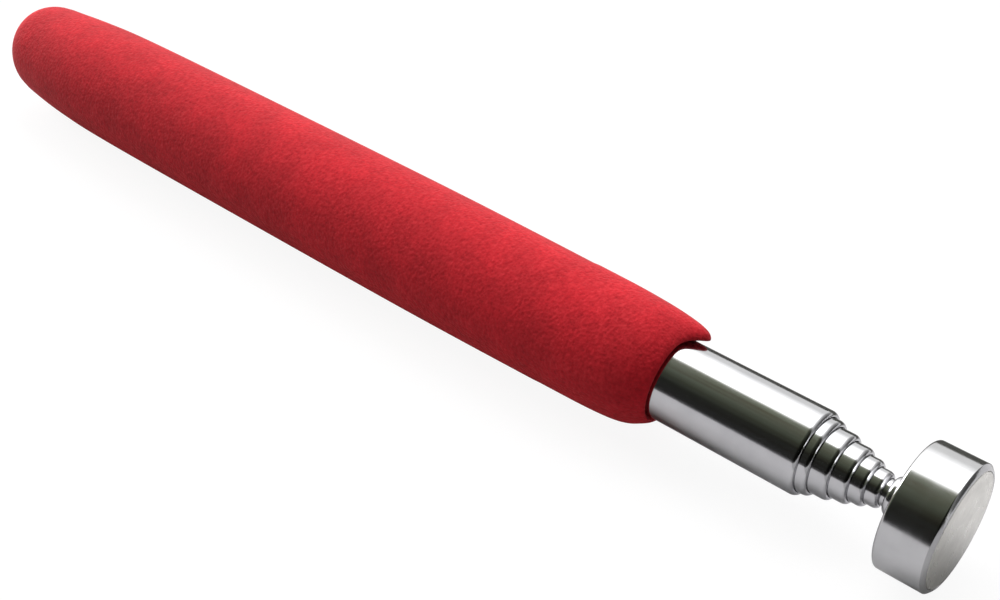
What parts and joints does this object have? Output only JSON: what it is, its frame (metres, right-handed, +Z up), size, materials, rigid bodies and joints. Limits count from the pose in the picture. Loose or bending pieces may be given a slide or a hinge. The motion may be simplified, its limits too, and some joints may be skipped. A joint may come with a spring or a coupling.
{
  "type": "telescopic magnetic pick-up tool",
  "caption": "Pocket reaching aid: a foam-gripped barrel holds nested chromed tubes that pull out and end in a cupped disc magnet for picking up small steel things.",
  "frame": {"origin": "centre of the bounding box's bottom face, on the surface that the collapsed tool lies on", "axes": "+X along the tool towards the magnet, +Z up, +Y to the left of someone facing +X"},
  "size_m": [0.1898, 0.0196, 0.0196],
  "materials": {
    "grip_foam": "matte",
    "chromed_tube": "polished",
    "spring_brass": "satin",
    "plug_nylon": "satin",
    "chromed_cup": "polished",
    "magnet_plating": "satin",
    "epoxy": "satin",
    "screw_steel": "satin"
  },
  "bodies": {
    "handle": {"foam_grip": "grip_foam", "barrel_tube": "chromed_tube", "barrel_rear_plug": "plug_nylon"},
    "sleeve_1": {"section_1_spring_sleeve": "spring_brass"},
    "section_1": {"section_1_tube": "chromed_tube"},
    "sleeve_2": {"section_2_spring_sleeve": "spring_brass"},
    "section_2": {"section_2_tube": "chromed_tube"},
    "sleeve_3": {"section_3_spring_sleeve": "spring_brass"},
    "section_3": {"section_3_tube": "chromed_tube"},
    "sleeve_4": {"section_4_spring_sleeve": "spring_brass"},
    "section_4": {"section_4_tube": "chromed_tube"},
    "sleeve_5": {"section_5_spring_sleeve": "spring_brass"},
    "section_5": {"section_5_tube": "chromed_tube"},
    "tip_sleeve": {"tip_rod_spring_sleeve": "spring_brass"},
    "tip": {"tip_rod": "chromed_tube", "neck_collar": "chromed_cup", "cup_screw": "screw_steel", "magnet_cup": "chromed_cup", "epoxy_bed": "epoxy", "magnet_disc": "magnet_plating"}
  },
  "joints": [
    {"name": "section_1_slide", "type": "slide", "parent": "handle", "child": "sleeve_1", "axis": [1, 0, 0], "range_m": [0, 0.0958]},
    {"name": "section_1_spin", "type": "hinge", "parent": "sleeve_1", "child": "section_1", "pos_m": [0, 0, 0.0098], "axis": [1, 0, 0], "continuous": true},
    {"name": "section_2_slide", "type": "slide", "parent": "section_1", "child": "sleeve_2", "axis": [1, 0, 0], "range_m": [0, 0.09725]},
    {"name": "section_2_spin", "type": "hinge", "parent": "sleeve_2", "child": "section_2", "pos_m": [0, 0, 0.0098], "axis": [1, 0, 0], "continuous": true},
    {"name": "section_3_slide", "type": "slide", "parent": "section_2", "child": "sleeve_3", "axis": [1, 0, 0], "range_m": [0, 0.09975]},
    {"name": "section_3_spin", "type": "hinge", "parent": "sleeve_3", "child": "section_3", "pos_m": [0, 0, 0.0098], "axis": [1, 0, 0], "continuous": true},
    {"name": "section_4_slide", "type": "slide", "parent": "section_3", "child": "sleeve_4", "axis": [1, 0, 0], "range_m": [0, 0.1021]},
    {"name": "section_4_spin", "type": "hinge", "parent": "sleeve_4", "child": "section_4", "pos_m": [0, 0, 0.0098], "axis": [1, 0, 0], "continuous": true},
    {"name": "section_5_slide", "type": "slide", "parent": "section_4", "child": "sleeve_5", "axis": [1, 0, 0], "range_m": [0, 0.104]},
    {"name": "section_5_spin", "type": "hinge", "parent": "sleeve_5", "child": "section_5", "pos_m": [0, 0, 0.0098], "axis": [1, 0, 0], "continuous": true},
    {"name": "tip_slide", "type": "slide", "parent": "section_5", "child": "tip_sleeve", "axis": [1, 0, 0], "range_m": [0, 0.10575]},
    {"name": "tip_spin", "type": "hinge", "parent": "tip_sleeve", "child": "tip", "pos_m": [0, 0, 0.0098], "axis": [1, 0, 0], "continuous": true}
  ]
}
